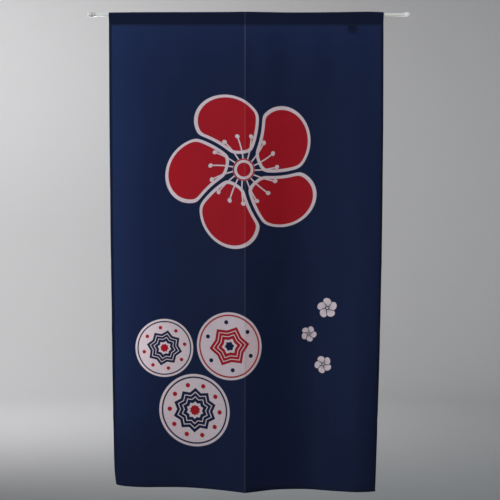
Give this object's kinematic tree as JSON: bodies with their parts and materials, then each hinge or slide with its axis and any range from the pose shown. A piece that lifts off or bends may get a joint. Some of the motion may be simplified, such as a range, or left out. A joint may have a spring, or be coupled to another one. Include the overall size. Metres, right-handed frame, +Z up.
{
  "type": "noren curtain on a rod",
  "caption": "Doorway curtain of one printed cloth with a sewn rod pocket, narrow hems and a pressed crease down its middle, hanging in soft folds on a thin rod with end caps.",
  "frame": {"origin": "on the rod's axis, halfway along the rod, where its wall hooks or brackets hold it level", "axes": "+Z up, +X along the rod to the viewer's right, +Y away from the viewer through the cloth; the hem is at the low Z end"},
  "size_m": [0.997, 0.0971, 1.4801],
  "materials": {
    "cloth": "thin plain-weave polyester, printed navy, faintly sheer",
    "label": "blank woven satin tape",
    "rod": "white enamel, satin",
    "cap": "white moulded plastic"
  },
  "bodies": {
    "root": {"curtain_cloth": "cloth", "care_label": "label", "rod": "rod", "rod_cap_left": "cap", "rod_cap_right": "cap"}
  },
  "joints": []
}
